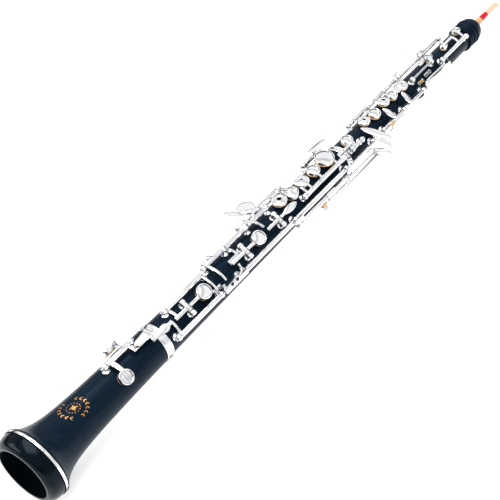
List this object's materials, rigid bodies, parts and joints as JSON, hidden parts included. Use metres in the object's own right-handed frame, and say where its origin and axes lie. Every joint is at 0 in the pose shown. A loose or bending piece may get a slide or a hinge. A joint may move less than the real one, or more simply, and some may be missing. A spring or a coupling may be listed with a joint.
{
  "type": "oboe",
  "caption": "Full-conservatoire oboe in three joints with sprung hinged keys, flared bell, crown and double reed; keys turn on their axles.",
  "frame": {"origin": "centre of the bell mouth, on the bore axis, in the plane of the rim", "axes": "+X along the bore from the bell mouth to the reed, +Z out of the front where the finger plates are, +Y to the player's right side"},
  "size_m": [0.648, 0.0702, 0.055],
  "materials": {
    "blackwood": "black satin polish with a faint blue sheen",
    "silver_plate": "bright polished silver plate",
    "pad_skin": "cream pad skin",
    "cork": "fine cork",
    "steel": "polished steel",
    "staple_brass": "drawn tube",
    "thread": "red nylon winding",
    "cane": "scraped cane"
  },
  "bodies": {
    "instrument": {"bell": "blackwood", "bell_ring": "silver_plate", "bell_band": "silver_plate", "lower_joint": "blackwood", "lower_tenon_cork": "cork", "lower_band": "silver_plate", "upper_joint": "blackwood", "upper_tenon_cork": "cork", "thumb_rest": "silver_plate", "bell_posts": "silver_plate", "lower_posts": "silver_plate", "upper_posts": "silver_plate", "lower_axles": "steel", "upper_axles": "steel", "needle_springs": "steel", "reed_staple": "staple_brass", "reed_cork": "cork", "reed_thread": "thread", "reed_cane": "cane"},
    "bell_key": {"bell_key": "silver_plate", "bell_key_pads": "pad_skin"},
    "bell_link": {"bell_link": "silver_plate"},
    "b_link": {"b_link": "silver_plate"},
    "bflat_lever": {"bflat_lever": "silver_plate"},
    "csharp_key": {"csharp_key": "silver_plate", "csharp_pad": "pad_skin"},
    "c_lever": {"c_lever": "silver_plate"},
    "eflat_key": {"eflat_key": "silver_plate", "eflat_pad": "pad_skin"},
    "left_eflat_lever": {"left_eflat_lever": "silver_plate"},
    "left_csharp_lever": {"left_csharp_lever": "silver_plate"},
    "d_key": {"d_key": "silver_plate", "d_pad": "pad_skin"},
    "e_key": {"e_key": "silver_plate", "e_pad": "pad_skin"},
    "fsharp_key": {"fsharp_key": "silver_plate", "fsharp_pads": "pad_skin"},
    "side_trill_key": {"side_trill_key": "silver_plate", "side_trill_pad": "pad_skin"},
    "bridge_key": {"bridge_key": "silver_plate", "bridge_pad": "pad_skin"},
    "g_key": {"g_key": "silver_plate", "g_pads": "pad_skin"},
    "a_key": {"a_key": "silver_plate", "a_pads": "pad_skin"},
    "b_key": {"b_key": "silver_plate", "b_pad": "pad_skin"},
    "gsharp_key": {"gsharp_key": "silver_plate"},
    "high_trill_key": {"high_trill_key": "silver_plate"},
    "octave_key": {"octave_key": "silver_plate", "octave_pad": "pad_skin"},
    "thumb_octave_key": {"thumb_octave_key": "silver_plate", "thumb_octave_pad": "pad_skin"},
    "d_trill_key": {"d_trill_key": "silver_plate", "d_trill_pad": "pad_skin"},
    "low_b_key": {"low_b_key": "silver_plate", "low_b_pad": "pad_skin"},
    "low_c_key": {"low_c_key": "silver_plate", "low_c_pad": "pad_skin"},
    "f_key": {"f_key": "silver_plate"}
  },
  "joints": [
    {"name": "bell_key_hinge", "type": "hinge", "parent": "instrument", "child": "bell_key", "pos_m": [0.099, 0, 0.0195], "axis": [-1, 0, 0], "range_deg": [0, 4], "stiffness_Nm_per_rad": 0.03, "springref_deg": -8.59},
    {"name": "bell_link_hinge", "type": "hinge", "parent": "instrument", "child": "bell_link", "pos_m": [0.166, -0.01691, 0.00616], "axis": [1, 0, 0], "range_deg": [0, 4.8], "stiffness_Nm_per_rad": 0.03, "springref_deg": -8.59},
    {"name": "b_link_hinge", "type": "hinge", "parent": "instrument", "child": "b_link", "pos_m": [0.17, 0, 0.018], "axis": [-1, 0, 0], "range_deg": [0, 3], "stiffness_Nm_per_rad": 0.03, "springref_deg": -8.59},
    {"name": "bflat_lever_hinge", "type": "hinge", "parent": "instrument", "child": "bflat_lever", "pos_m": [0.285, -0.01691, 0.00616], "axis": [1, 0, 0], "range_deg": [0, 8], "stiffness_Nm_per_rad": 0.03, "springref_deg": -8.59},
    {"name": "csharp_key_hinge", "type": "hinge", "parent": "instrument", "child": "csharp_key", "pos_m": [0.209, 0.00313, 0.01773], "axis": [1, 0, 0], "range_deg": [0, 5], "stiffness_Nm_per_rad": 0.03, "springref_deg": -8.59},
    {"name": "c_lever_hinge", "type": "hinge", "parent": "instrument", "child": "c_lever", "pos_m": [0.248, 0.00313, 0.01773], "axis": [-1, 0, 0], "range_deg": [0, 4], "stiffness_Nm_per_rad": 0.03, "springref_deg": -8.59},
    {"name": "eflat_key_hinge", "type": "hinge", "parent": "instrument", "child": "eflat_key", "pos_m": [0.278, 0.01379, 0.01157], "axis": [-1, 0, 0], "range_deg": [0, 5], "stiffness_Nm_per_rad": 0.03, "springref_deg": -8.59},
    {"name": "left_eflat_lever_hinge", "type": "hinge", "parent": "instrument", "child": "left_eflat_lever", "pos_m": [0.306, -0.01897, 0.00099], "axis": [1, 0, 0], "range_deg": [0, 5], "stiffness_Nm_per_rad": 0.03, "springref_deg": -8.59},
    {"name": "left_csharp_lever_hinge", "type": "hinge", "parent": "instrument", "child": "left_csharp_lever", "pos_m": [0.339, -0.01897, 0.00099], "axis": [1, 0, 0], "range_deg": [0, 5], "stiffness_Nm_per_rad": 0.03, "springref_deg": -8.59},
    {"name": "d_key_hinge", "type": "hinge", "parent": "instrument", "child": "d_key", "pos_m": [0.287, 0.0087, 0.01507], "axis": [1, 0, 0], "range_deg": [0, 5.5], "stiffness_Nm_per_rad": 0.03, "springref_deg": -8.59},
    {"name": "e_key_hinge", "type": "hinge", "parent": "instrument", "child": "e_key", "pos_m": [0.318, -0.01174, 0.01174], "axis": [-1, 0, 0], "range_deg": [0, 5.5], "stiffness_Nm_per_rad": 0.03, "springref_deg": -8.59},
    {"name": "fsharp_key_hinge", "type": "hinge", "parent": "instrument", "child": "fsharp_key", "pos_m": [0.344, -0.01174, 0.01174], "axis": [-1, 0, 0], "range_deg": [0, 5.2], "stiffness_Nm_per_rad": 0.03, "springref_deg": -8.59},
    {"name": "side_trill_key_hinge", "type": "hinge", "parent": "instrument", "child": "side_trill_key", "pos_m": [0.349, 0.0123, 0.0123], "axis": [1, 0, 0], "range_deg": [0, 5], "stiffness_Nm_per_rad": 0.03, "springref_deg": -8.59},
    {"name": "bridge_key_hinge", "type": "hinge", "parent": "instrument", "child": "bridge_key", "pos_m": [0.383, -0.01131, 0.01131], "axis": [-1, 0, 0], "range_deg": [0, 4.7], "stiffness_Nm_per_rad": 0.03, "springref_deg": -8.59},
    {"name": "g_key_hinge", "type": "hinge", "parent": "instrument", "child": "g_key", "pos_m": [0.415, 0.00883, 0.01261], "axis": [1, 0, 0], "range_deg": [0, 4.8], "stiffness_Nm_per_rad": 0.03, "springref_deg": -8.59},
    {"name": "a_key_hinge", "type": "hinge", "parent": "instrument", "child": "a_key", "pos_m": [0.444, 0.00883, 0.01261], "axis": [1, 0, 0], "range_deg": [0, 4.8], "stiffness_Nm_per_rad": 0.03, "springref_deg": -8.59},
    {"name": "b_key_hinge", "type": "hinge", "parent": "instrument", "child": "b_key", "pos_m": [0.467, 0.00883, 0.01261], "axis": [1, 0, 0], "range_deg": [0, 4.8], "stiffness_Nm_per_rad": 0.03, "springref_deg": -8.59},
    {"name": "gsharp_key_hinge", "type": "hinge", "parent": "instrument", "child": "gsharp_key", "pos_m": [0.434, -0.01487, 0.00399], "axis": [-1, 0, 0], "range_deg": [0, 4], "stiffness_Nm_per_rad": 0.03, "springref_deg": -8.59},
    {"name": "high_trill_key_hinge", "type": "hinge", "parent": "instrument", "child": "high_trill_key", "pos_m": [0.467, -0.01487, 0.00399], "axis": [-1, 0, 0], "range_deg": [0, 4], "stiffness_Nm_per_rad": 0.03, "springref_deg": -8.59},
    {"name": "octave_key_hinge", "type": "hinge", "parent": "instrument", "child": "octave_key", "pos_m": [0.544, -0.01065, 0.01028], "axis": [1, 0, 0], "range_deg": [0, 5], "stiffness_Nm_per_rad": 0.03, "springref_deg": -8.59},
    {"name": "thumb_octave_key_hinge", "type": "hinge", "parent": "instrument", "child": "thumb_octave_key", "pos_m": [0.511, 0.0074, -0.01282], "axis": [-1, 0, 0], "range_deg": [0, 5], "stiffness_Nm_per_rad": 0.03, "springref_deg": -8.59},
    {"name": "d_trill_key_hinge", "type": "hinge", "parent": "instrument", "child": "d_trill_key", "pos_m": [0.501, 0.00924, 0.01182], "axis": [-1, 0, 0], "range_deg": [0, 5], "stiffness_Nm_per_rad": 0.03, "springref_deg": -8.59},
    {"name": "low_b_key_hinge", "type": "hinge", "parent": "instrument", "child": "low_b_key", "pos_m": [0.162, -0.01021, 0.01458], "axis": [0, 0.8192, 0.5736], "range_deg": [0, 3], "stiffness_Nm_per_rad": 0.03, "springref_deg": -8.59},
    {"name": "low_c_key_hinge", "type": "hinge", "parent": "instrument", "child": "low_c_key", "pos_m": [0.2305, -0.01035, 0.01424], "axis": [0, 0.809, 0.5878], "range_deg": [0, 3.4], "stiffness_Nm_per_rad": 0.03, "springref_deg": -8.59},
    {"name": "f_key_hinge", "type": "hinge", "parent": "instrument", "child": "f_key", "pos_m": [0.2725, -0.01071, 0.01371], "axis": [0, 0.788, 0.6157], "range_deg": [0, 4], "stiffness_Nm_per_rad": 0.03, "springref_deg": -8.59}
  ],
  "couplings": [
    {"joint": "bell_key_hinge", "follows": "bflat_lever_hinge", "ratio": 0.5},
    {"joint": "bell_link_hinge", "follows": "bflat_lever_hinge", "ratio": 0.6},
    {"joint": "b_link_hinge", "follows": "bflat_lever_hinge", "ratio": 0.36},
    {"joint": "csharp_key_hinge", "follows": "left_csharp_lever_hinge", "ratio": 1},
    {"joint": "bridge_key_hinge", "follows": "fsharp_key_hinge", "ratio": 0.9},
    {"joint": "low_b_key_hinge", "follows": "bflat_lever_hinge", "ratio": 0.37},
    {"joint": "low_c_key_hinge", "follows": "c_lever_hinge", "ratio": 0.83}
  ]
}
